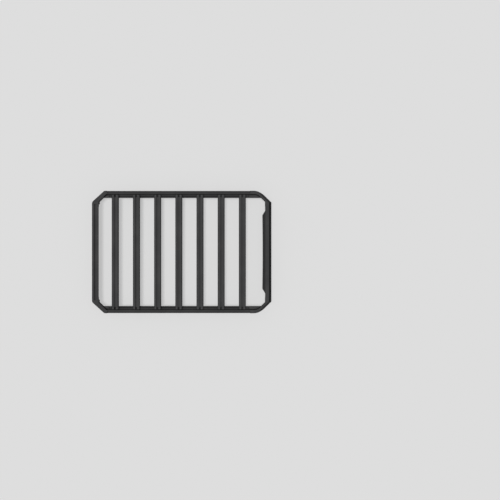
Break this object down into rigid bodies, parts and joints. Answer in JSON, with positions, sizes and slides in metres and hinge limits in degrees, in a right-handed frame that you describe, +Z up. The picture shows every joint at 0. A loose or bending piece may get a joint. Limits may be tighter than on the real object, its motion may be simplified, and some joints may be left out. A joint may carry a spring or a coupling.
{
  "type": "flat platform roof rack",
  "caption": "Flat open-frame platform roof rack for a vehicle: slotted side rails, cross slats, cast corners, sloped nose with wind fairing, bracket feet on rubber pads.",
  "frame": {"origin": "on the floor plane under the middle of the rack's length and width, at the undersides of the rubber pads", "axes": "+X to the rack's front, where the sloped nose and fairing are, +Y to its left side, +Z up"},
  "size_m": [1.72, 1.174, 0.124],
  "materials": {
    "rail_coat": "matte",
    "slat_coat": "matte",
    "casting_coat": "matte",
    "fairing_coat": "satin",
    "foot_coat": "matte",
    "cap_plastic": "matte",
    "pad_rubber": "matte",
    "trim_rubber": "matte",
    "fastener": "satin"
  },
  "bodies": {
    "root": {"fairing_edge_trim": "trim_rubber", "front_corner_left": "casting_coat", "front_corner_right": "casting_coat", "front_foot_left": "foot_coat", "front_foot_pad_left": "pad_rubber", "front_foot_pad_right": "pad_rubber", "front_foot_right": "foot_coat", "front_rail": "rail_coat", "middle_foot_left": "foot_coat", "middle_foot_pad_left": "pad_rubber", "middle_foot_pad_right": "pad_rubber", "middle_foot_right": "foot_coat", "rear_corner_left": "casting_coat", "rear_corner_right": "casting_coat", "rear_foot_left": "foot_coat", "rear_foot_pad_left": "pad_rubber", "rear_foot_pad_right": "pad_rubber", "rear_foot_right": "foot_coat", "rear_rail": "rail_coat", "side_rail_left": "rail_coat", "side_rail_right": "rail_coat", "slat_1": "slat_coat", "slat_2": "slat_coat", "slat_3": "slat_coat", "slat_4": "slat_coat", "slat_5": "slat_coat", "slat_6": "slat_coat", "slat_7": "slat_coat", "slat_caps_left": "cap_plastic", "slat_caps_right": "cap_plastic", "wind_fairing": "fairing_coat"}
  },
  "joints": []
}
